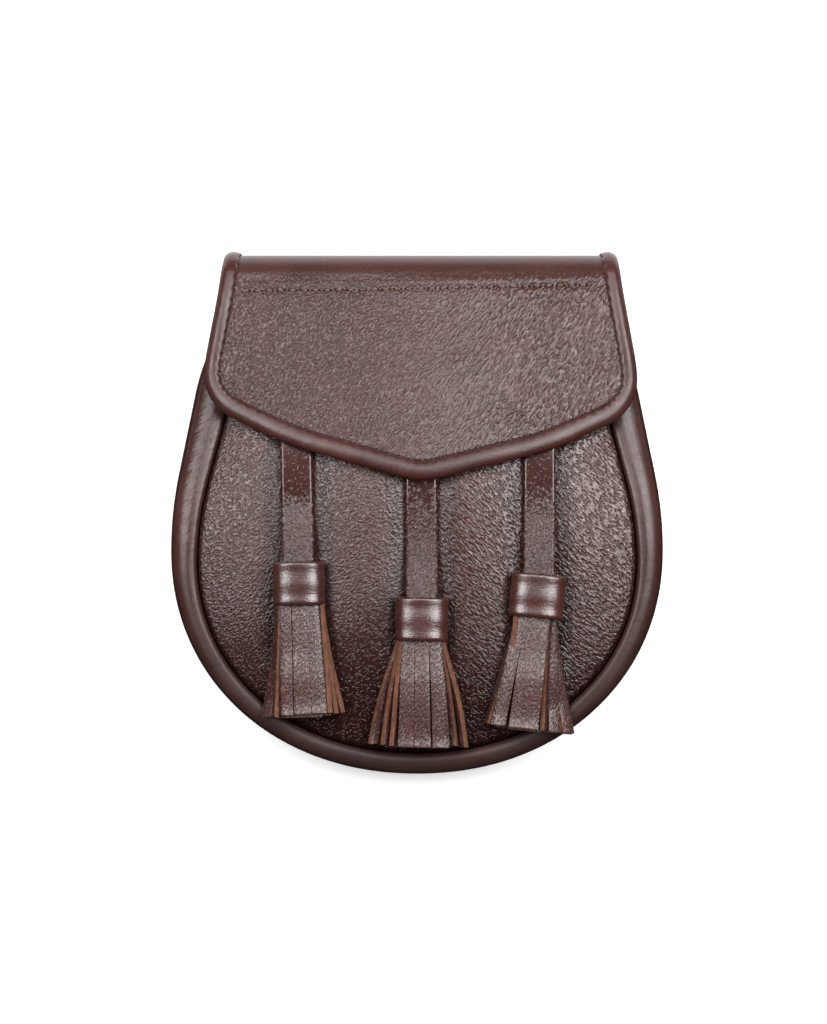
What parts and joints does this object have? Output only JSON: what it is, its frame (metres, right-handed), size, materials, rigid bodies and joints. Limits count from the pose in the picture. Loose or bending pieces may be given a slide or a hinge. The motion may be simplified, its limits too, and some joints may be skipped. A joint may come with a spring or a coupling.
{
  "type": "sporran pouch",
  "caption": "Leather sporran pouch lying on its back: round-bottomed body with a rolled gusset, a pointed flap with bound edge, and strapped tassels down the front.",
  "frame": {"origin": "on the surface the pouch lies on, under the middle of the whole object's bounding box", "axes": "+Z out of the pouch's front, away from the wearer; +Y from the round bottom towards the fold of the flap; +X to the right in a front view"},
  "size_m": [0.1874, 0.1996, 0.0499],
  "materials": {
    "grained_front": "fine pebbled grain, semi-gloss",
    "smooth_gusset": "smooth, semi-gloss",
    "plain_back": "smooth, satin",
    "grained_flap": "fine pebbled grain, semi-gloss",
    "smooth_binding": "smooth, semi-gloss",
    "stud_metal": "dull plated metal",
    "strap_left": "fine pebbled grain, semi-gloss",
    "cap_left": "smooth, glossy",
    "fringe_left": "pebbled grain with raw cut edges",
    "strap_centre": "fine pebbled grain, semi-gloss",
    "cap_centre": "smooth, glossy",
    "fringe_centre": "pebbled grain with raw cut edges",
    "strap_right": "fine pebbled grain, semi-gloss",
    "cap_right": "smooth, glossy",
    "fringe_right": "pebbled grain with raw cut edges",
    "loop_left": "smooth, satin",
    "loop_right": "smooth, satin"
  },
  "bodies": {
    "root": {"front_panel": "grained_front", "gusset": "smooth_gusset", "back_panel": "plain_back", "flap": "grained_flap", "flap_binding": "smooth_binding", "snap_stud": "stud_metal", "tassel_strap_left": "strap_left", "tassel_cap_left": "cap_left", "tassel_fringe_left": "fringe_left", "tassel_strap_centre": "strap_centre", "tassel_cap_centre": "cap_centre", "tassel_fringe_centre": "fringe_centre", "tassel_strap_right": "strap_right", "tassel_cap_right": "cap_right", "tassel_fringe_right": "fringe_right", "belt_loop_left": "loop_left", "belt_loop_right": "loop_right"}
  },
  "joints": []
}
